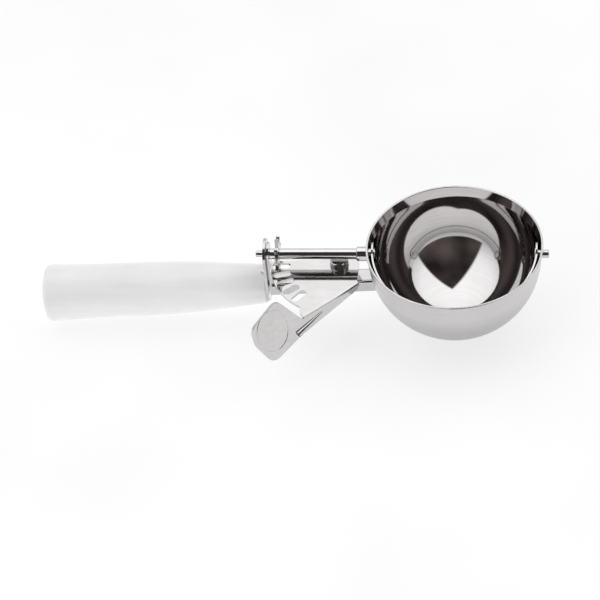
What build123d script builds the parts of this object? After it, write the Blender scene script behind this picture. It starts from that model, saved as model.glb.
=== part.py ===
from build123d import *
import math
import os

# Thumb-press disher: bowl, scraper, drive shaft with pinion, slotted thumb lever, shank and handle.
# Millimetres. The origin is the centre of the spherical bowl, which lies on the drive shaft's axis.
# +X runs along that axis to the far pivot, the handle is at -X, and +Z is up out of the bowl's mouth.
# The thumb lever stands out on the -Y side.

# ---- bowl
bowl_inner_radius = 38.0
bowl_wall = 1.0
rim_height = 5.2            # rim above the shaft axis
rim_flare = 0.9             # how far the rim stands outside the equator
rim_edge_radius = 0.35

# ---- drive shaft, its bush and the pinion
shaft_radius = 2.5
stub_radius = 1.5           # thin end that runs in the end plate
stub_length = 5.1
tenon_radius = 1.6          # end riveted into the blade's ear
rivet_radius = 2.5
rivet_height = 0.8
rivet_seat = 0.12           # rivet head's flat face inside the ear's hollow face
tenon_proud = 0.1           # tenon's end beyond the rivet head
shoulder_beyond_ear = 0.3   # full shaft beyond the bearing ear, before the thin end
bush_wall = 0.85
bush_length = 5.2           # out from the bowl
pinion_thickness = 1.6
pinion_teeth = 8
pinion_root_radius = 4.5
tooth_root_width = 2.3
tooth_tip_width = 1.3
tooth_root_sink = 1.0       # tooth carried on into the pinion's body
tooth_overreach = 1.15      # tooth tips below the top of the slotted sheet
tooth_rounding = 0.3
small_chamfer = 0.3

# ---- scraper blade
blade_thickness = 0.8
blade_width = 8.5
blade_gap = 0.35            # blade to bowl wall
blade_ear_radius = 5.4
blade_rest_angle = 8.0      # blade's centre line below the horizontal at rest
far_pin_radius = 1.9
far_pin_proud = 3.4         # out from the bowl
far_head_radius = 2.8
far_head_rounding = 0.35
far_end_rounding = 0.5

# ---- shank and handle share one straight, slightly drooping centre line, the spine
droop = 3.5                 # degrees below the shaft axis, towards the handle
spine_depth = 13.7          # spine below the shaft axis, at the bowl's centre
shank_width = 9.2
shank_height = 6.1
shank_wall = 1.0
shank_corner = 1.4
weld_pad_reach = 0.6        # solid end of the shank, out from the bowl's equator
pinion_room = 2.85          # pinion to the upturned bearing ear
ear_thickness = 0.9
ear_rise = 1.3              # centre of the ear's round top above the shaft axis
plate_gap = 0.4             # ear to end plate
end_plate_thickness = 1.2
end_plate_top_radius = 7.3
end_plate_bottom_radius = 8.0
tab_width = 4.0
tab_tip_width = 0.5
tab_length = 2.2
tab_thickness = 1.0
tab_offset = 1.6            # the tab's middle, towards the thumb side
tab_clearance = 0.2         # over the handle

# ---- tang rod inside the handle
tang_neck_radius = 1.4
tang_radius = 3.0
tang_length = 72.0
tang_head_radius = 2.0
tang_head_height = 1.0

# ---- handle: radius at each distance behind its front face
handle_length = 104.2
handle_front_radius = 8.8
handle_neck_distance = 19.0
handle_neck_radius = 10.5
handle_shoulder_distance = 34.0
handle_shoulder_radius = 11.6
handle_grip_distance = 69.0
handle_grip_radius = 12.4
handle_butt_radius = 13.3
butt_rounding = 2.2
front_rounding = 0.8

# ---- thumb lever
pivot_offset = 13.5         # bowl to the lever's pivot
mesh_radius = 27.75         # pivot to the middle of the pinion
sheet = 1.2
sector_depth = 6.8          # sector's top face below the shaft axis
slot_count = 5
first_slot_angle = 182.0    # about the pivot, from +X
slot_width = 3.4
slot_outside = 2.85         # slot beyond the mesh radius
slot_inside = 5.55          # slot within the mesh radius
slot_bridge = 0.6           # sheet between the slots' ends and the rounded edge
sector_margin = 3.3         # sheet beyond the first slot's centre line
sector_rounding = 1.5
arc_end_angle = 17.0        # where the slotted edge ends, from the fold's direction
lever_hub_radius = 9.0
hub_front_angle = 137.0     # where the hub's round edge meets the fold side, from the fold's direction
arm_angle = 222.3           # direction of the fold line, from +X
fold_offset = 15.2          # fold line from the pivot
arm_length = 32.5           # fold line's end, from the pivot
bend_angle = 75.0           # of the arm, down from the sector
fold_radius = 1.6           # outside of the bend
fold_start = 0.8            # where the fold begins, beside the pivot
notch_rounding = 1.5        # where the fold ends

# the arm's corners: along the fold from the pivot, up the sheet from the fold line, rounding
arm_corners = [
    (2.8, -2.8, 1.0),
    (36.5, -8.5, 12.0),
    (53.2, -13.8, 5.2),
    (59.2, -0.8, 9.0),
    (59.2, 7.9, 5.0),
    (43.4, 15.2, 4.0),
    (34.4, 0.6, 0),
]

# places on the arm: along the fold from the pivot, up the sheet from the fold line
pad_middle = (49.0, 1.6)
emboss_long = 10.6
emboss_short = 8.4
emboss_line = 0.7
emboss_height = 0.2
pocket_start = (22.7, -3.1)
pocket_end = (37.6, -6.9)
pocket_tip_radius = 0.5
pocket_mouth_radius = 1.7
pocket_wall = 0.45

# ---- pivot stack
bolt_radius = 2.0
bolt_overhang = 0.8         # bolt below its nut
bolt_chamfer = 0.4
hex_across_flats = 7.1
hex_height = 2.8
hex_bevel = 30.0            # degrees, on the head's corners
nut_across_flats = 7.0
nut_height = 3.0
washer_radius = 4.4
washer_thickness = 0.4
lock_washer_thickness = 0.6
lock_washer_slit = 0.8
journal_radius = 2.75
axial_play = 0.1

# ---- return spring
wire_radius = 0.5
coil_corner = 45.0          # degrees turned at each corner of the coil's route, about
corner_ease = 0.1           # the corners' bends are this much tighter than the coil
spring_clearance = 0.3      # above and below the coil
coil_gap = 0.3              # least space between turns
hook_clearance = 0.2        # beside the shank
bush_clearance = 0.4        # inside the coil
lower_leg = 4.5
lower_hook = 4.0
hook_bend = 1.2
upper_leg = 25.2
leg_inset = 1.6             # end of the upper leg, inside the fold line

# ---- fits
running_fit = 0.05
seat_gap = 0.02             # welded curved seats
press_gap = 0.01

# ---- worked out from the above
bowl_outer_radius = bowl_inner_radius + bowl_wall
bush_radius = shaft_radius + bush_wall
blade_outer_radius = bowl_inner_radius - blade_gap
blade_inner_radius = blade_outer_radius - blade_thickness
shaft_bore = shaft_radius + running_fit
pivot_distance = bowl_outer_radius + pivot_offset
pinion_distance = pivot_distance + mesh_radius
ear_distance = pinion_distance + pinion_thickness / 2 + pinion_room
tooth_reach = sector_depth + tooth_overreach
pitch_radius = sector_depth + sheet / 2
slot_pitch = 360 * pitch_radius / (pinion_teeth * mesh_radius)
slot_outer_radius = mesh_radius + slot_outside
slot_inner_radius = mesh_radius - slot_inside
sector_radius = slot_outer_radius + slot_bridge
spring_radius = shank_width / 2 + hook_clearance + wire_radius
pivot_bush_radius = spring_radius - wire_radius - bush_clearance
sector_top = -sector_depth
sector_bottom = sector_top - sheet
droop_cos = math.cos(math.radians(droop))
droop_sin = math.sin(math.radians(droop))
droop_tan = math.tan(math.radians(droop))


def spine_z(x):
    """Height of the spine at a place along X."""
    return -spine_depth + x * droop_tan


# normal towards the handle, local x towards -Y, local y up
spine = Plane(origin=(0, 0, -spine_depth), x_dir=(0, -1, 0), z_dir=(-droop_cos, 0, -droop_sin))
ear_back = ear_distance + ear_thickness
plate_back = ear_back + plate_gap + end_plate_thickness
tang_front = plate_back / droop_cos + tang_radius * droop_tan + seat_gap
handle_front = plate_back / droop_cos - handle_front_radius * droop_tan
shoulder_x = -(ear_back + shoulder_beyond_ear)
cut_length = bowl_outer_radius + plate_back + tang_length

os.makedirs("parts", exist_ok=True)

# ================================================================ bowl
with BuildPart() as bowl:
    with BuildSketch(Plane.XZ):
        with BuildLine():
            ThreePointArc(
                (0, -bowl_outer_radius),
                (bowl_outer_radius * math.sin(math.pi / 4), -bowl_outer_radius * math.cos(math.pi / 4)),
                (bowl_outer_radius, 0),
            )
            ThreePointArc(
                (0, -bowl_inner_radius),
                (bowl_inner_radius * math.sin(math.pi / 4), -bowl_inner_radius * math.cos(math.pi / 4)),
                (bowl_inner_radius, 0),
            )
            Line((0, -bowl_outer_radius), (0, -bowl_inner_radius))
            Polyline(
                (bowl_outer_radius, 0),
                (bowl_outer_radius + rim_flare, rim_height),
                (bowl_inner_radius + rim_flare, rim_height),
                (bowl_inner_radius, 0),
            )
        make_face()
    revolve(axis=Axis.Z)
    rim_edges = bowl.edges().group_by(Axis.Z)[-1]
    fillet(rim_edges, rim_edge_radius)
    with BuildSketch(Plane.YZ):
        Circle(shaft_bore)
    extrude(amount=-cut_length, mode=Mode.SUBTRACT)
    with BuildSketch(Plane.YZ):
        Circle(far_pin_radius + running_fit)
    extrude(amount=cut_length, mode=Mode.SUBTRACT)
bowl.part.label = "bowl"
export_step(bowl.part, "parts/bowl.step")

# ================================================================ shaft bush, welded round the bowl's bore
with BuildPart() as shaft_bush:
    with BuildSketch(Plane.YZ.offset(-bowl_outer_radius - bush_length)):
        Circle(bush_radius)
        Circle(shaft_bore, mode=Mode.SUBTRACT)
    extrude(amount=bush_length + bowl_wall)
    Sphere(bowl_outer_radius + seat_gap, mode=Mode.SUBTRACT)
    with Locations((0, 0, rim_height / 2)):
        Cone(
            bowl_outer_radius + seat_gap,
            bowl_outer_radius + rim_flare + seat_gap,
            rim_height,
            mode=Mode.SUBTRACT,
        )
    bush_mouth = shaft_bush.edges().group_by(Axis.X)[0].sort_by(SortBy.RADIUS)[-1]
    chamfer(bush_mouth, small_chamfer)
shaft_bush.part.label = "shaft_bush"
export_step(shaft_bush.part, "parts/shaft_bush.step")

# ================================================================ drive shaft
tenon_start = -blade_outer_radius - press_gap
rivet_start = -blade_inner_radius + rivet_seat
with BuildPart() as drive_shaft:
    with BuildSketch(Plane.YZ.offset(shoulder_x)):
        Circle(shaft_radius)
    extrude(amount=tenon_start - shoulder_x)
    with BuildSketch(Plane.YZ.offset(tenon_start)):
        Circle(tenon_radius)
    extrude(amount=rivet_start + rivet_height + tenon_proud - tenon_start)
    with BuildSketch(Plane.YZ.offset(rivet_start)):
        Circle(rivet_radius)
    extrude(amount=rivet_height)
    with BuildSketch(Plane.YZ.offset(shoulder_x)):
        Circle(stub_radius)
    extrude(amount=-stub_length)
    stub_end = drive_shaft.edges().group_by(Axis.X)[0]
    chamfer(stub_end, small_chamfer)
drive_shaft.part.label = "drive_shaft"
export_step(drive_shaft.part, "parts/drive_shaft.step")

# ================================================================ pinion, in mesh with the first slot
mesh_turn = (first_slot_angle - 180) * 360 / pinion_teeth / slot_pitch
first_tooth_angle = -90 - mesh_turn
with BuildPart() as pinion:
    with BuildSketch(Plane.YZ.offset(-pinion_distance - pinion_thickness / 2)) as pinion_outline:
        Circle(pinion_root_radius)
        with PolarLocations(0, pinion_teeth, start_angle=first_tooth_angle):
            Polygon(
                (pinion_root_radius - tooth_root_sink, -tooth_root_width / 2),
                (tooth_reach, -tooth_tip_width / 2),
                (tooth_reach, tooth_tip_width / 2),
                (pinion_root_radius - tooth_root_sink, tooth_root_width / 2),
                align=None,
            )
        tooth_middle = (pinion_root_radius + tooth_reach) / 2
        tips = pinion_outline.vertices().filter_by(lambda v: math.hypot(v.X, v.Y) > tooth_middle)
        fillet(tips, tooth_rounding)
        Circle(shaft_radius + press_gap, mode=Mode.SUBTRACT)
    extrude(amount=pinion_thickness)
pinion.part.label = "pinion"
export_step(pinion.part, "parts/pinion.step")

# ================================================================ scraper blade
rest = math.radians(blade_rest_angle)
# local x points out along the blade's centre line, local y across its width
blade_plane = Plane(origin=(0, 0, 0), x_dir=(0, -math.cos(rest), -math.sin(rest)), z_dir=(1, 0, 0))
with BuildPart() as scraper_blade:
    with BuildSketch(blade_plane):
        with Locations((blade_outer_radius / 2, 0)):
            Rectangle(blade_outer_radius, blade_width)
        Circle(blade_ear_radius)
    extrude(amount=bowl_outer_radius, both=True)
    Sphere(blade_outer_radius, mode=Mode.INTERSECT)
    Sphere(blade_inner_radius, mode=Mode.SUBTRACT)
    with BuildSketch(Plane.YZ):
        Circle(tenon_radius + press_gap)
    extrude(amount=-cut_length, mode=Mode.SUBTRACT)
    with BuildSketch(Plane.YZ):
        Circle(far_pin_radius + press_gap)
    extrude(amount=cut_length, mode=Mode.SUBTRACT)
scraper_blade.part.label = "scraper_blade"
export_step(scraper_blade.part, "parts/scraper_blade.step")

# ================================================================ far pivot pin, riveted to the blade's ear
with BuildPart() as far_pivot_pin:
    with BuildSketch(Plane.YZ.offset(blade_inner_radius - rivet_seat)):
        Circle(far_head_radius)
    extrude(amount=-rivet_height)
    inner_head = far_pivot_pin.edges().group_by(Axis.X)[0]
    fillet(inner_head, far_head_rounding)
    with BuildSketch(Plane.YZ.offset(bowl_outer_radius + far_pin_proud)):
        Circle(far_pin_radius)
    extrude(amount=blade_inner_radius - rivet_seat - bowl_outer_radius - far_pin_proud)
    pin_end = far_pivot_pin.edges().group_by(Axis.X)[-1]
    fillet(pin_end, far_end_rounding)
far_pivot_pin.part.label = "far_pivot_pin"
export_step(far_pivot_pin.part, "parts/far_pivot_pin.step")

# ================================================================ shank
# starts inside the bowl's wall, which trims it to its seat
shank_front = math.sqrt(bowl_inner_radius ** 2 - spine_depth ** 2) - shank_height / 2
with BuildPart() as shank:
    with BuildSketch(spine.offset(shank_front)) as channel:
        Rectangle(shank_width, shank_height)
        fillet(channel.vertices().group_by(Axis.Y)[-1], shank_corner)
        with Locations((0, -shank_wall)):
            Rectangle(shank_width - 2 * shank_wall, shank_height, mode=Mode.SUBTRACT)
    extrude(amount=ear_distance + ear_thickness / 2 - shank_front)
    with BuildSketch(spine.offset(shank_front)) as weld_pad:
        Rectangle(shank_width, shank_height)
        fillet(weld_pad.vertices().group_by(Axis.Y)[-1], shank_corner)
    extrude(amount=bowl_outer_radius + weld_pad_reach - shank_front)
    Sphere(bowl_outer_radius + seat_gap, mode=Mode.SUBTRACT)
    ear_foot = spine_z(-ear_back) - shank_height / 2
    with BuildSketch(Plane.YZ.offset(-ear_back)):
        with Locations((0, ear_rise)):
            Circle(shank_width / 2)
        with Locations((0, (ear_rise + ear_foot) / 2)):
            Rectangle(shank_width, ear_rise - ear_foot)
        Circle(shaft_bore, mode=Mode.SUBTRACT)
    extrude(amount=ear_thickness)
    with BuildSketch(spine):
        Circle(tang_neck_radius + running_fit)
    extrude(amount=cut_length, mode=Mode.SUBTRACT)
    with BuildSketch(Plane.XY):
        with Locations((-pivot_distance, 0)):
            Circle(bolt_radius + 2 * running_fit)
    extrude(amount=-cut_length, mode=Mode.SUBTRACT)
shank.part.label = "shank"
export_step(shank.part, "parts/shank.step")

# ================================================================ end plate, square to the shaft
with BuildPart() as end_plate:
    with BuildSketch(Plane.YZ.offset(-plate_back)):
        Circle(end_plate_top_radius)
        with Locations((0, spine_z(-plate_back))):
            Circle(end_plate_bottom_radius)
        make_hull()
        Circle(stub_radius + 2 * running_fit, mode=Mode.SUBTRACT)
    extrude(amount=end_plate_thickness)
    with BuildSketch(spine):
        Circle(tang_neck_radius + running_fit)
    extrude(amount=cut_length, mode=Mode.SUBTRACT)
    tab_middle = (-tab_offset, spine_z(-plate_back) + handle_front_radius + tab_clearance + tab_thickness / 2)
    with BuildSketch(Plane.YZ.offset(-plate_back)):
        with Locations(tab_middle):
            Rectangle(tab_width, tab_thickness)
    with BuildSketch(Plane.YZ.offset(-plate_back - tab_length)):
        with Locations(tab_middle):
            Rectangle(tab_tip_width, tab_thickness)
    loft()
end_plate.part.label = "end_plate"
export_step(end_plate.part, "parts/end_plate.step")

# ================================================================ tang rod: head, neck, body in the handle
tang_head_face = (ear_distance - tang_head_radius * droop_sin) / droop_cos - seat_gap
with BuildPart() as tang_rod:
    with BuildSketch(spine.offset(tang_head_face)):
        Circle(tang_head_radius)
    extrude(amount=-tang_head_height)
    head_edge = tang_rod.edges().group_by(Axis.X)[-1]
    chamfer(head_edge, small_chamfer)
    with BuildSketch(spine.offset(tang_head_face)):
        Circle(tang_neck_radius)
    extrude(amount=tang_front - tang_head_face)
    with BuildSketch(spine.offset(tang_front)):
        Circle(tang_radius)
    extrude(amount=tang_length)
tang_rod.part.label = "tang_rod"
export_step(tang_rod.part, "parts/tang_rod.step")

# ================================================================ handle, turned about the spine
handle_origin = spine.offset(handle_front).origin
# local x runs back along the spine, local y is the radius
handle_plane = Plane(origin=handle_origin, x_dir=(-droop_cos, 0, -droop_sin), z_dir=(0, 1, 0))
with BuildPart() as handle:
    with BuildSketch(handle_plane) as handle_profile:
        with BuildLine():
            Spline(
                (0, handle_front_radius),
                (handle_neck_distance, handle_neck_radius),
                (handle_shoulder_distance, handle_shoulder_radius),
                (handle_grip_distance, handle_grip_radius),
                (handle_length, handle_butt_radius),
            )
            Polyline(
                (handle_length, handle_butt_radius),
                (handle_length, 0),
                (0, 0),
                (0, handle_front_radius),
            )
        make_face()
        butt_corner = (handle_length, handle_butt_radius)
        fillet(handle_profile.vertices().sort_by_distance(butt_corner)[0], butt_rounding)
    revolve(axis=Axis(handle_origin, spine.z_dir))
    split(bisect_by=Plane.YZ.offset(-plate_back), keep=Keep.BOTTOM)
    front_edge = handle.edges().group_by(Axis.X)[-1]
    fillet(front_edge, front_rounding)
    with BuildSketch(spine):
        Circle(tang_radius + press_gap)
    extrude(amount=tang_front + tang_length + press_gap, mode=Mode.SUBTRACT)
handle.part.label = "handle"
export_step(handle.part, "parts/handle.step")

# ================================================================ thumb lever
arm = math.radians(arm_angle)
# local x runs out along the fold line, local y from the pivot to the fold line, z up
lever_plane = Plane(
    origin=(-pivot_distance, 0, sector_top),
    x_dir=(math.cos(arm), math.sin(arm), 0),
    z_dir=(0, 0, 1),
)


def polar(radius, degrees):
    """Point at a radius and an angle."""
    return (radius * math.cos(math.radians(degrees)), radius * math.sin(math.radians(degrees)))


first_slot = first_slot_angle - arm_angle
edge_start_angle = first_slot - math.degrees(math.asin(sector_margin / sector_radius))
hub_rear_angle = first_slot - math.degrees(math.asin(sector_margin / lever_hub_radius))
arc_middle_angle = (edge_start_angle + arc_end_angle) / 2
hub_middle_angle = (hub_front_angle + hub_rear_angle + 360) / 2

# the arm leans out below the fold; local x as above, local y up the sheet, z through it to the inside
bend = math.radians(bend_angle)
inward = lever_plane.from_local_coords(Vector(0, -math.sin(bend), -math.cos(bend))) - lever_plane.origin
arm_plane = Plane(
    origin=lever_plane.from_local_coords(Vector(0, fold_offset, 0)),
    x_dir=lever_plane.x_dir,
    z_dir=inward,
)
fold_run = fold_radius * math.tan(bend / 2)
fold_centre = fold_offset - fold_run
arm_outline = [(x, y) for x, y, rounding in arm_corners]
arm_outline = [(fold_start, -fold_run)] + arm_outline + [(arm_length, -fold_run)]

# square to the fold, local x from the pivot to the fold, local y up
fold_plane = Plane(
    origin=lever_plane.from_local_coords(Vector(fold_start, 0, 0)),
    x_dir=lever_plane.y_dir,
    z_dir=lever_plane.x_dir,
)

with BuildPart() as thumb_lever:
    with BuildSketch(lever_plane) as sector_outline:
        with BuildLine():
            ThreePointArc(
                polar(sector_radius, edge_start_angle),
                polar(sector_radius, arc_middle_angle),
                polar(sector_radius, arc_end_angle),
            )
            Polyline(
                polar(sector_radius, arc_end_angle),
                (arm_length, fold_centre - notch_rounding),
                (arm_length, fold_centre),
                (fold_start, fold_centre),
                polar(lever_hub_radius, hub_front_angle),
            )
            ThreePointArc(
                polar(lever_hub_radius, hub_front_angle),
                polar(lever_hub_radius, hub_middle_angle),
                polar(lever_hub_radius, hub_rear_angle),
            )
            Line(polar(lever_hub_radius, hub_rear_angle), polar(sector_radius, edge_start_angle))
        make_face()
        rear_corner = polar(sector_radius, edge_start_angle)
        fillet(sector_outline.vertices().sort_by_distance(rear_corner)[0], sector_rounding)
        notch_corner = (arm_length, fold_centre - notch_rounding)
        fillet(sector_outline.vertices().sort_by_distance(notch_corner)[0], notch_rounding)
        for slot in range(slot_count):
            angle = first_slot + slot * slot_pitch
            with Locations(Location((0, 0, 0), (0, 0, angle))):
                with Locations(((slot_inner_radius + slot_outer_radius) / 2, 0)):
                    SlotOverall(slot_outer_radius - slot_inner_radius, slot_width, mode=Mode.SUBTRACT)
        Circle(journal_radius + running_fit, mode=Mode.SUBTRACT)
    extrude(amount=-sheet)
    with BuildSketch(arm_plane) as arm_face:
        Polygon(*arm_outline, align=None)
        for x, y, rounding in arm_corners:
            if rounding:
                fillet(arm_face.vertices().sort_by_distance((x, y))[0], rounding)
    extrude(amount=sheet)
    with BuildSketch(fold_plane):
        with BuildLine():
            outside = CenterArc((fold_centre, -fold_radius), fold_radius, 90, -bend_angle)
            inside = CenterArc((fold_centre, -fold_radius), fold_radius - sheet, 90, -bend_angle)
            Line(outside @ 0, inside @ 0)
            Line(outside @ 1, inside @ 1)
        make_face()
    extrude(amount=arm_length - fold_start)
    with BuildSketch(arm_plane):
        with Locations(pad_middle):
            Ellipse(emboss_short, emboss_long)
            Ellipse(emboss_short - emboss_line, emboss_long - emboss_line, mode=Mode.SUBTRACT)
    extrude(amount=-emboss_height)
    pocket_from = arm_plane.from_local_coords(pocket_start)
    pocket_to = arm_plane.from_local_coords(pocket_end)
    pocket_length = (pocket_to - pocket_from).length
    pocket_plane = Plane(origin=pocket_from, x_dir=arm_plane.z_dir, z_dir=pocket_to - pocket_from)
    with Locations(pocket_plane):
        Cone(
            pocket_tip_radius,
            pocket_mouth_radius,
            pocket_length,
            align=(Align.CENTER, Align.CENTER, Align.MIN),
        )
        Cone(
            pocket_tip_radius - pocket_wall,
            pocket_mouth_radius - pocket_wall,
            pocket_length,
            align=(Align.CENTER, Align.CENTER, Align.MIN),
            mode=Mode.SUBTRACT,
        )
thumb_lever.part.label = "thumb_lever"
export_step(thumb_lever.part, "parts/thumb_lever.step")

# ================================================================ pivot stack, from the top down
pivot = Plane(origin=(-pivot_distance, 0, 0))
washer_bottom = sector_top + axial_play
washer_top = washer_bottom + washer_thickness
web_top_plane = Plane(
    origin=(-pivot_distance, 0, spine_z(-pivot_distance) + shank_height / 2 / droop_cos),
    x_dir=(droop_cos, 0, droop_sin),
    z_dir=(-droop_sin, 0, droop_cos),
)
web_top = web_top_plane.origin.Z
web_bottom = web_top - shank_wall / droop_cos
nut_top = web_bottom - nut_across_flats / math.sqrt(3) * droop_tan - lock_washer_thickness
bolt_end = nut_top - nut_height - bolt_overhang

with BuildPart() as pivot_washer:
    with BuildSketch(pivot.offset(washer_bottom)):
        Circle(washer_radius)
        Circle(bolt_radius + running_fit, mode=Mode.SUBTRACT)
    extrude(amount=washer_thickness)
pivot_washer.part.label = "pivot_washer"
export_step(pivot_washer.part, "parts/pivot_washer.step")

with BuildPart() as pivot_bolt:
    with BuildSketch(pivot.offset(washer_top)):
        RegularPolygon(hex_across_flats / 2, 6, major_radius=False)
    extrude(amount=hex_height)
    with BuildSketch(pivot.offset(washer_top + hex_height)):
        Circle(hex_across_flats / 2)
    cap = extrude(amount=-hex_height, taper=hex_bevel - 90, mode=Mode.PRIVATE)
    add(cap, mode=Mode.INTERSECT)
    with BuildSketch(pivot.offset(washer_top)):
        Circle(bolt_radius)
    extrude(amount=bolt_end - washer_top)
    bolt_tip = pivot_bolt.edges().group_by(Axis.Z)[0]
    chamfer(bolt_tip, bolt_chamfer)
pivot_bolt.part.label = "pivot_bolt"
export_step(pivot_bolt.part, "parts/pivot_bolt.step")

with BuildPart() as pivot_bush:
    with BuildSketch(pivot.offset(sector_bottom - axial_play)):
        Circle(pivot_bush_radius)
    extrude(amount=-spine_depth)
    with BuildSketch(pivot.offset(washer_bottom)):
        Circle(journal_radius)
    extrude(amount=-spine_depth)
    with BuildSketch(pivot):
        Circle(bolt_radius + running_fit)
    extrude(amount=-cut_length, mode=Mode.SUBTRACT)
    split(bisect_by=web_top_plane, keep=Keep.TOP)
pivot_bush.part.label = "pivot_bush"
export_step(pivot_bush.part, "parts/pivot_bush.step")

with BuildPart() as lock_washer:
    with BuildSketch(pivot.offset(nut_top)):
        Circle(nut_across_flats / 2)
        Circle(bolt_radius + running_fit, mode=Mode.SUBTRACT)
        with Locations((0, -nut_across_flats / 2)):
            Rectangle(lock_washer_slit, nut_across_flats, mode=Mode.SUBTRACT)
    extrude(amount=lock_washer_thickness)
lock_washer.part.label = "lock_washer"
export_step(lock_washer.part, "parts/lock_washer.step")

with BuildPart() as pivot_nut:
    with BuildSketch(pivot.offset(nut_top)):
        RegularPolygon(nut_across_flats / 2, 6, major_radius=False)
        Circle(bolt_radius + press_gap, mode=Mode.SUBTRACT)
    extrude(amount=-nut_height)
pivot_nut.part.label = "pivot_nut"
export_step(pivot_nut.part, "parts/pivot_nut.step")

# ================================================================ return spring round the bush
coil_bottom = web_top + pivot_bush_radius * droop_tan + spring_clearance + wire_radius
coil_top = sector_bottom - spring_clearance - wire_radius
# the upper leg leaves the coil square to its radius and ends beside the fold
leg_reach = math.hypot(spring_radius, upper_leg)
leg_swing = math.asin((fold_offset - leg_inset) / leg_reach) - math.atan(spring_radius / upper_leg)
leg_angle = arm_angle + math.degrees(leg_swing)
coil_end_angle = leg_angle + 90
spring_turns = math.floor((coil_top - coil_bottom) / (2 * wire_radius + coil_gap))
coil_sweep = 360 * spring_turns + 270 - coil_end_angle
corner_count = round(coil_sweep / coil_corner)
corner_turn = coil_sweep / corner_count
corner_radius = spring_radius / math.cos(math.radians(corner_turn / 2))
leg_start = Vector(-pivot_distance, 0, coil_top) + Vector(*polar(spring_radius, coil_end_angle), 0)
hook_corner = Vector(-pivot_distance + lower_leg, -spring_radius, coil_bottom)

# up the hook, round the coil clockwise from its lowest point, and out along the upper leg
spring_points = [hook_corner - Vector(0, 0, lower_hook), hook_corner]
for corner in range(corner_count):
    x, y = polar(corner_radius, 270 - (corner + 0.5) * corner_turn)
    rise = (coil_top - coil_bottom) * corner / (corner_count - 1)
    spring_points.append(Vector(x - pivot_distance, y, coil_bottom + rise))
spring_points.append(leg_start + Vector(*polar(upper_leg, leg_angle), 0))
spring_bends = [hook_bend] + [spring_radius - corner_ease] * corner_count
spring_path = FilletPolyline(*spring_points, radius=spring_bends)
with BuildPart() as return_spring:
    with BuildSketch(Plane(origin=spring_points[0], z_dir=(0, 0, 1))):
        Circle(wire_radius)
    sweep(path=spring_path)
return_spring.part.label = "return_spring"
export_step(return_spring.part, "parts/return_spring.step")
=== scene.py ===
import math

import bpy
from mathutils import Matrix, Vector

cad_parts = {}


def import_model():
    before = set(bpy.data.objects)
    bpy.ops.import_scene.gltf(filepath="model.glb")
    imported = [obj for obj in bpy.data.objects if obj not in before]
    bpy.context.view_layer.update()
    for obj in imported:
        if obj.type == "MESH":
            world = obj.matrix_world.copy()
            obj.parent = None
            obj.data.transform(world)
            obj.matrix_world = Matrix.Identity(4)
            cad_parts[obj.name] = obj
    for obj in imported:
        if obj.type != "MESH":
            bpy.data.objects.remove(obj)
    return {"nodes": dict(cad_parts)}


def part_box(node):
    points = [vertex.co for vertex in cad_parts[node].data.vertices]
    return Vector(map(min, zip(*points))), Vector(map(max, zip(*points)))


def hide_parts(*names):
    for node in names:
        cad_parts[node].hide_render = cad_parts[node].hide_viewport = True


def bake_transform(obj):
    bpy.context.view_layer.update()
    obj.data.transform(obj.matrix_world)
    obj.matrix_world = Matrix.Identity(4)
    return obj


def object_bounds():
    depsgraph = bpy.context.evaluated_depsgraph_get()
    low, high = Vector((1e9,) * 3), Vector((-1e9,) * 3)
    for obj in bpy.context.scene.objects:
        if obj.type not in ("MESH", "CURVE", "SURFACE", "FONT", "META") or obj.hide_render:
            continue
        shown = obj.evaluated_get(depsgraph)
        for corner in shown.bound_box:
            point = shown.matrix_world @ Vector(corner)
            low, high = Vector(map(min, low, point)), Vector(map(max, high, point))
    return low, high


# A thumb-press ice scoop: polished steel bowl, geared scraper, slotted thumb lever, white moulded handle.
# Metres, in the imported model's frame: the origin is the bowl's centre, +X runs away from the handle,
# +Z is up out of the bowl's mouth, and the thumb lever stands out on the -Y side.

MM = 0.001

# ---- steel
EDGE_SAMPLES = 4
STEEL_EDGE = 0.15 * MM              # how much a sharp edge looks rounded
STEEL_TINT = (1.0, 0.985, 0.982)
STEEL_WEAR = 0.04                   # how far the shade wanders, either way
STEEL_CLOUD = 60.0                  # noise scales are per metre
STEEL_RELIEF = 0.2 * MM
SCRATCH_FINER = 2.7                 # scratches against the grain: how much finer across
SCRATCH_SCALE = 1.9
SCRATCH_DEPTH = 0.4

# ---- bowl
BOWL_HALF_WALL = 0.5 * MM
BOWL_EDGE = 0.2 * MM
BOWL_RELIEF = 0.3 * MM
BOWL_RELIEF_STRENGTH = 0.06
BOWL_RINGS = 30.0
RING_STRETCH = (1.0, 1.0, 40.0)
BOWL_CLOUD = 45.0
INSIDE_ROUGHNESS = (0.03, 0.07)     # mirror
OUTSIDE_ROUGHNESS = (0.24, 0.36)    # satin
BOWL_DARK = (0.575, 0.560, 0.560)
BOWL_LIGHT = (0.645, 0.630, 0.630)
PAINTED_SHADE_FROM = -22.0 * MM              # heights between which the outside's colour is painted darker: painted shade for the shadowed floor that it mirrors
PAINTED_SHADE_TO = -5.0 * MM
# painted shade: how dark the outside's colour is painted at the foot
FOOT_PAINTED_SHADE = 0.66

# ---- handle
FLOW_STRETCH = (0.06, 1.0, 1.0)     # flow lines run along the handle
FLOW_SCALE = 260.0
FLOW_RELIEF = 0.4 * MM
FLOW_RELIEF_STRENGTH = 0.16
PLASTIC_CLOUD = 35.0
PLASTIC_DARK = (0.85, 0.852, 0.854)
PLASTIC_LIGHT = (0.93, 0.931, 0.932)
PLASTIC_ROUGHNESS = (0.30, 0.42)
PLASTIC_IOR = 1.49
PLASTIC_DEPTH = 4.0 * MM            # how far light goes in

# ---- floor
FLOOR_REACH = 3.0
FLOOR_CLOUD = 6.0
FLOOR_DARK = 0.29
FLOOR_LIGHT = 0.31
FLOOR_GLOW = 2.35                   # keeps the shadow faint
FLOOR_ROUGHNESS = 0.9

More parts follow.
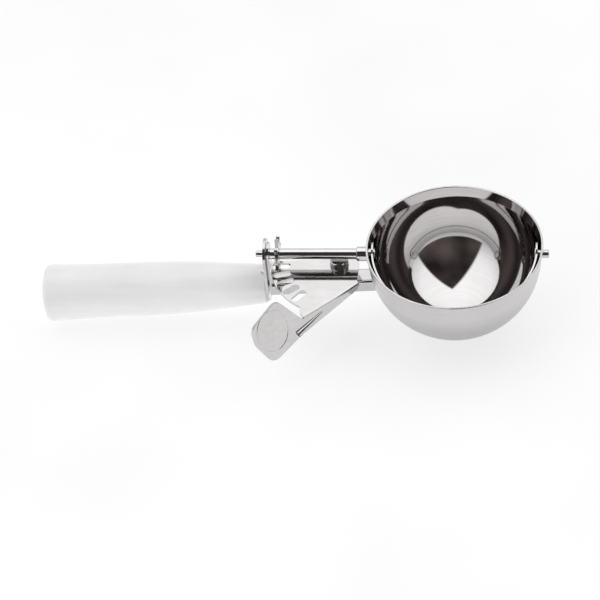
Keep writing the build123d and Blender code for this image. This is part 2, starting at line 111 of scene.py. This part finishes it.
# ---- camera
CAMERA_PLACE = Vector((0.0579, -0.8070, 0.7854))
CAMERA_AZIMUTH = 9.17               # degrees
CAMERA_ELEVATION = 44.92
CAMERA_ROLL = -6.38
SENSOR_WIDTH = 36.0
LENS = 150.0
CLIP_END = 20.0

# ---- studio: brightness by the sine of the height, and the dark stand that the camera is on
SKY = [(0.0, 0.62), (0.35, 0.72), (0.7, 1.35), (1.0, 1.5)]
STAND_TIP = (0.14, 1.15)            # right of and above the camera, as slopes
STAND_SLOPE = 1.25                  # fall of its sides
STAND_SOFTNESS = 0.03
STAND_FOLDS = 1.7
STAND_DARK = (0.025, 0.020, 0.019)
STAND_LIGHT = (0.13, 0.110, 0.104)
NEARLY_BESIDE = 0.001               # least distance ahead, against a division by nothing
IN_FRONT = 0.01

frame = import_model()
cad_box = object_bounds()
bowl_low, bowl_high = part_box("bowl")

# the wall's middle surface is a sphere below the axis and a flaring band above it
BOWL_MIDDLE = -bowl_low.z - BOWL_HALF_WALL
RIM_SLOPE = (bowl_high.x + bowl_low.z) / bowl_high.z


# ---------------------------------------------------------------- material helpers
class Nodes:
    """A short way to write one node tree."""

    def __init__(self, tree):
        self.tree = tree
        tree.nodes.clear()

    def add(self, kind, **values):
        node = self.tree.nodes.new(kind)
        for name, value in values.items():
            setattr(node, name, value)
        return node

    def link(self, source, target):
        self.tree.links.new(source, target)

    def feed(self, value, socket):
        """Links a socket, or sets a constant."""
        if isinstance(value, bpy.types.NodeSocket):
            self.link(value, socket)
        else:
            socket.default_value = value

    def math(self, operation, a, b):
        node = self.add("ShaderNodeMath", operation=operation)
        self.feed(a, node.inputs[0])
        self.feed(b, node.inputs[1])
        return node.outputs[0]

    def vector_math(self, operation, vector):
        node = self.add("ShaderNodeVectorMath", operation=operation)
        self.link(vector, node.inputs[0])
        return node

    def weigh(self, a, b, share):
        """A share of a, and the rest of b."""
        return self.math("ADD", self.math("MULTIPLY", a, share), self.math("MULTIPLY", b, 1.0 - share))

    def ramp(self, factor, stops):
        """Colours, or greys, by place along the ramp."""
        node = self.add("ShaderNodeValToRGB")
        elements = node.color_ramp.elements
        while len(elements) < len(stops):
            elements.new(0.5)
        for element, (place, shade) in zip(elements, stops):
            element.position = place
            element.color = (*shade, 1.0) if isinstance(shade, tuple) else (shade, shade, shade, 1.0)
        self.link(factor, node.inputs[0])
        return node.outputs[0]

    def noise(self, vector, scale, detail=3.0, roughness=0.5, distortion=0.0):
        node = self.add("ShaderNodeTexNoise")
        self.link(vector, node.inputs["Vector"])
        node.inputs["Scale"].default_value = scale
        node.inputs["Detail"].default_value = detail
        node.inputs["Roughness"].default_value = roughness
        node.inputs["Distortion"].default_value = distortion
        return node.outputs["Fac"]

    def span(self, value, low, high, start=0.0, end=1.0):
        """Scales start..end to low..high."""
        node = self.add("ShaderNodeMapRange")
        self.link(value, node.inputs["Value"])
        node.inputs["From Min"].default_value = start
        node.inputs["From Max"].default_value = end
        node.inputs["To Min"].default_value = low
        node.inputs["To Max"].default_value = high
        return node.outputs[0]

    def stretch(self, vector, scale):
        """Scales a coordinate by different amounts along X, Y and Z."""
        node = self.add("ShaderNodeMapping")
        self.link(vector, node.inputs["Vector"])
        node.inputs["Scale"].default_value = scale
        return node.outputs[0]

    def bump(self, height, strength, distance, normal=None):
        node = self.add("ShaderNodeBump")
        node.inputs["Strength"].default_value = strength
        node.inputs["Distance"].default_value = distance
        self.link(height, node.inputs["Height"])
        if normal is not None:
            self.link(normal, node.inputs["Normal"])
        return node.outputs[0]

    def worn_edge(self, radius):
        """A normal that rounds off sharp edges."""
        node = self.add("ShaderNodeBevel", samples=EDGE_SAMPLES)
        node.inputs["Radius"].default_value = radius
        return node.outputs[0]


def new_material(name):
    """A material, its node tree, the object coordinate and the shader's inputs."""
    material = bpy.data.materials.new(name)
    material.use_nodes = True
    n = Nodes(material.node_tree)
    place = n.add("ShaderNodeTexCoord").outputs["Object"]
    shader = n.add("ShaderNodeBsdfPrincipled")
    n.link(shader.outputs[0], n.add("ShaderNodeOutputMaterial").inputs["Surface"])
    return material, n, place, shader.inputs


def steel(name, shade, roughness, grain, grain_size, grain_depth):
    """Stainless steel: fine grain stretched along one way, cloudy polish, small scratches, softened edges."""
    material, n, place, surface = new_material(name)
    cloud = n.noise(place, STEEL_CLOUD, 3.0, 0.55)
    streak = n.noise(n.stretch(place, grain), grain_size, 2.0, 0.6)
    finer = tuple(g * SCRATCH_FINER for g in grain)
    scratch = n.noise(n.stretch(place, finer), grain_size * SCRATCH_SCALE, 1.0, 0.5, 0.4)
    mixed = n.weigh(cloud, streak, 0.5)
    low = tuple(c * (shade - STEEL_WEAR) for c in STEEL_TINT)
    high = tuple(c * (shade + STEEL_WEAR) for c in STEEL_TINT)
    height = n.math("ADD", streak, n.math("MULTIPLY", scratch, SCRATCH_DEPTH))
    normal = n.bump(height, grain_depth, STEEL_RELIEF, n.worn_edge(STEEL_EDGE))
    surface["Metallic"].default_value = 1.0
    n.link(n.ramp(mixed, [(0.3, low), (0.7, high)]), surface["Base Color"])
    n.link(n.span(mixed, roughness * 0.75, roughness * 1.25), surface["Roughness"])
    n.link(normal, surface["Normal"])
    return material


def bowl_steel():
    """Mirror polished inside; outside satin with faint rings of polishing, and painted darker towards the foot:
    painted shade for the shadowed floor that it mirrors.
    """
    material, n, place, surface = new_material("bowl_steel")
    split = n.add("ShaderNodeSeparateXYZ")
    n.link(place, split.inputs[0])
    height = split.outputs["Z"]
    # 1 outside the wall's middle surface, 0 inside it
    level = n.add("ShaderNodeCombineXYZ")
    n.link(split.outputs["X"], level.inputs[0])
    n.link(split.outputs["Y"], level.inputs[1])
    n.link(n.math("MINIMUM", height, 0.0), level.inputs[2])
    radius = n.vector_math("LENGTH", level.outputs[0]).outputs["Value"]
    above = n.math("MAXIMUM", height, 0.0)
    middle = n.math("ADD", n.math("MULTIPLY", above, RIM_SLOPE), BOWL_MIDDLE)
    outside = n.math("GREATER_THAN", radius, middle)

    rings = n.noise(n.stretch(place, RING_STRETCH), BOWL_RINGS, 3.0, 0.6)
    cloud = n.noise(place, BOWL_CLOUD, 4.0, 0.6)
    mixed = n.weigh(rings, cloud, 0.6)
    rough = n.add("ShaderNodeMix", data_type="FLOAT")
    n.link(outside, rough.inputs["Factor"])
    n.link(n.span(cloud, *INSIDE_ROUGHNESS), rough.inputs["A"])
    n.link(n.span(mixed, *OUTSIDE_ROUGHNESS), rough.inputs["B"])
    # painted shade: the outside's colour darkens towards the foot, standing in for the shadowed floor that it
    # mirrors; the inside keeps its colour
    fall = n.span(height, FOOT_PAINTED_SHADE, 1.0, PAINTED_SHADE_FROM, PAINTED_SHADE_TO)
    painted_foot_shade = n.math("MAXIMUM", fall, n.math("SUBTRACT", 1.0, outside))
    toned = n.vector_math("SCALE", n.ramp(mixed, [(0.3, BOWL_DARK), (0.7, BOWL_LIGHT)]))
    n.link(painted_foot_shade, toned.inputs["Scale"])
    relief = n.math("MULTIPLY", outside, mixed)
    normal = n.bump(relief, BOWL_RELIEF_STRENGTH, BOWL_RELIEF, n.worn_edge(BOWL_EDGE))
    surface["Metallic"].default_value = 1.0
    n.link(toned.outputs[0], surface["Base Color"])
    n.link(rough.outputs["Result"], surface["Roughness"])
    n.link(normal, surface["Normal"])
    return material


def white_plastic():
    """Moulded white plastic: soft gloss and faint flow lines along the handle."""
    material, n, place, surface = new_material("white_plastic")
    flow = n.noise(n.stretch(place, FLOW_STRETCH), FLOW_SCALE, 3.0, 0.55)
    cloud = n.noise(place, PLASTIC_CLOUD, 3.0, 0.6)
    mixed = n.weigh(flow, cloud, 0.55)
    n.link(n.ramp(mixed, [(0.35, PLASTIC_DARK), (0.65, PLASTIC_LIGHT)]), surface["Base Color"])
    n.link(n.span(mixed, *PLASTIC_ROUGHNESS), surface["Roughness"])
    n.link(n.bump(flow, FLOW_RELIEF_STRENGTH, FLOW_RELIEF), surface["Normal"])
    surface["IOR"].default_value = PLASTIC_IOR
    surface["Subsurface Weight"].default_value = 0.12
    surface["Subsurface Radius"].default_value = (PLASTIC_DEPTH, PLASTIC_DEPTH, PLASTIC_DEPTH)
    surface["Subsurface Scale"].default_value = 0.5
    return material


# ---------------------------------------------------------------- a material on every CAD node
EVEN = (1.0, 1.0, 1.0)

# material, shade, roughness, stretch of the grain along X, Y and Z, grain size, grain depth
STEELS = {
    "shaft_bush": ("bush_steel", 0.64, 0.10, (1.0, 30.0, 30.0), 90.0, 0.03),
    "drive_shaft": ("shaft_steel", 0.66, 0.08, (0.1, 1.0, 1.0), 500.0, 0.02),
    "pinion": ("pinion_steel", 0.56, 0.18, EVEN, 700.0, 0.04),
    "scraper_blade": ("blade_steel", 0.62, 0.12, (0.2, 1.0, 1.0), 400.0, 0.03),
    "far_pivot_pin": ("pin_steel", 0.62, 0.14, EVEN, 500.0, 0.03),
    "shank": ("shank_steel", 0.58, 0.14, (0.1, 1.0, 1.0), 500.0, 0.04),
    "end_plate": ("plate_steel", 0.60, 0.14, (1.0, 0.2, 1.0), 400.0, 0.03),
    "tang_rod": ("tang_steel", 0.50, 0.30, EVEN, 500.0, 0.03),
    "thumb_lever": ("lever_steel", 0.60, 0.08, (0.3, 1.0, 1.0), 500.0, 0.02),
    "pivot_washer": ("washer_steel", 0.42, 0.25, EVEN, 600.0, 0.03),
    "pivot_bolt": ("bolt_steel", 0.56, 0.22, EVEN, 600.0, 0.05),
    "pivot_bush": ("spacer_steel", 0.50, 0.25, (1.0, 1.0, 20.0), 90.0, 0.03),
    "lock_washer": ("lock_washer_steel", 0.42, 0.30, EVEN, 600.0, 0.03),
    "pivot_nut": ("nut_steel", 0.50, 0.25, EVEN, 600.0, 0.03),
    "return_spring": ("spring_wire", 0.45, 0.25, EVEN, 900.0, 0.05),
}

materials = {name: steel(*finish) for name, finish in STEELS.items()}
materials["bowl"] = bowl_steel()
materials["handle"] = white_plastic()
for name, node in frame["nodes"].items():
    node.data.materials.clear()
    node.data.materials.append(materials[name])


# ---------------------------------------------------------------- the return spring, as its own object
def spring():
    """The spring's own wire, copied from the fitted spring, which is hidden; its foot sits in the shank."""
    fitted = frame["nodes"]["return_spring"]
    mesh = fitted.data.copy()
    mesh.name = "spring_wire"
    mesh.transform(fitted.matrix_world)
    wire = bpy.data.objects.new("spring_wire", mesh)
    bpy.context.scene.collection.objects.link(wire)
    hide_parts("return_spring")
    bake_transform(wire)


# ---------------------------------------------------------------- floor, camera, light
def floor():
    """A plain pale floor under the scoop."""
    mesh = bpy.data.meshes.new("floor")
    low = cad_box[0][2]
    corners = [(-1, -1), (1, -1), (1, 1), (-1, 1)]
    mesh.from_pydata([(x * FLOOR_REACH, y * FLOOR_REACH, low) for x, y in corners], [], [(0, 1, 2, 3)])
    plane = bpy.data.objects.new("floor", mesh)
    bpy.context.scene.collection.objects.link(plane)
    material, n, place, surface = new_material("floor_white")
    pale = n.ramp(n.noise(place, FLOOR_CLOUD), [(0.3, FLOOR_DARK), (0.7, FLOOR_LIGHT)])
    n.link(pale, surface["Base Color"])
    n.link(pale, surface["Emission Color"])
    surface["Emission Strength"].default_value = FLOOR_GLOW
    surface["Roughness"].default_value = FLOOR_ROUGHNESS
    mesh.materials.append(material)


def camera():
    """Looks at the scoop from the front and above. Returns its directions before the roll."""
    azimuth = math.radians(CAMERA_AZIMUTH)
    elevation = math.radians(CAMERA_ELEVATION)
    roll = math.radians(CAMERA_ROLL)
    back = Vector((
        math.sin(azimuth) * math.cos(elevation),
        -math.cos(azimuth) * math.cos(elevation),
        math.sin(elevation),
    ))
    right = Vector((math.cos(azimuth), math.sin(azimuth), 0.0))
    up = back.cross(right)
    turned_right = right * math.cos(roll) + up * math.sin(roll)
    turned_up = up * math.cos(roll) - right * math.sin(roll)
    data = bpy.data.cameras.new("camera")
    data.sensor_width = SENSOR_WIDTH
    data.lens = LENS
    data.clip_end = CLIP_END
    eye = bpy.data.objects.new("camera", data)
    turn = Matrix((turned_right, turned_up, back)).transposed().to_4x4()
    eye.matrix_world = Matrix.Translation(CAMERA_PLACE) @ turn
    bpy.context.scene.collection.objects.link(eye)
    bpy.context.scene.camera = eye
    return back, right, up


def light(name, place, target, width, height, power):
    """A soft panel, which steel doesn't mirror."""
    data = bpy.data.lights.new(name, "AREA")
    data.shape = "RECTANGLE"
    data.size = width
    data.size_y = height
    data.energy = power
    lamp = bpy.data.objects.new(name, data)
    lamp.visible_glossy = False
    lamp.location = place
    lamp.rotation_euler = (Vector(target) - Vector(place)).to_track_quat("-Z", "Y").to_euler()
    bpy.context.scene.collection.objects.link(lamp)


def world(back, right, up):
    """A pale studio, brighter overhead, with the dark shape of the camera's stand."""
    studio = bpy.data.worlds.new("studio")
    bpy.context.scene.world = studio
    studio.use_nodes = True
    n = Nodes(studio.node_tree)
    direction = n.add("ShaderNodeTexCoord").outputs["Generated"]

    def along(axis):
        node = n.vector_math("DOT_PRODUCT", direction)
        node.inputs[1].default_value = axis
        return node.outputs["Value"]

    # the stand is a dark peak whose sides run down and out from its tip
    tip_right, tip_up = STAND_TIP
    ahead = n.math("MAXIMUM", along(back), NEARLY_BESIDE)
    from_tip = n.math("SUBTRACT", n.math("DIVIDE", along(right), ahead), tip_right)
    across = n.math("MULTIPLY", n.math("ABSOLUTE", from_tip, 0.0), STAND_SLOPE)
    peak = n.math("ADD", n.math("DIVIDE", along(up), ahead), across)
    edge = [(tip_up / 2 - STAND_SOFTNESS, 1.0), (tip_up / 2 + STAND_SOFTNESS, 0.0)]
    stand = n.ramp(n.math("MULTIPLY", peak, 0.5), edge)
    folds = n.noise(direction, STAND_FOLDS, 1.0, 0.4)

    shade = n.add("ShaderNodeMixRGB")
    n.link(n.math("MULTIPLY", stand, n.math("GREATER_THAN", along(back), IN_FRONT)), shade.inputs["Fac"])
    n.link(n.ramp(along((0.0, 0.0, 1.0)), SKY), shade.inputs["Color1"])
    n.link(n.ramp(folds, [(0.35, STAND_DARK), (0.7, STAND_LIGHT)]), shade.inputs["Color2"])
    background = n.add("ShaderNodeBackground")
    n.link(shade.outputs["Color"], background.inputs["Color"])
    background.inputs["Strength"].default_value = 1.0
    n.link(background.outputs[0], n.add("ShaderNodeOutputWorld").inputs["Surface"])


spring()
floor()
world(*camera())
light("front", place=(-0.1, -1.05, 0.25), target=(-0.07, 0, -0.01), width=1.2, height=0.5, power=3.8)

bpy.context.scene.view_settings.view_transform = "Standard"
bpy.context.scene.view_settings.look = "None"
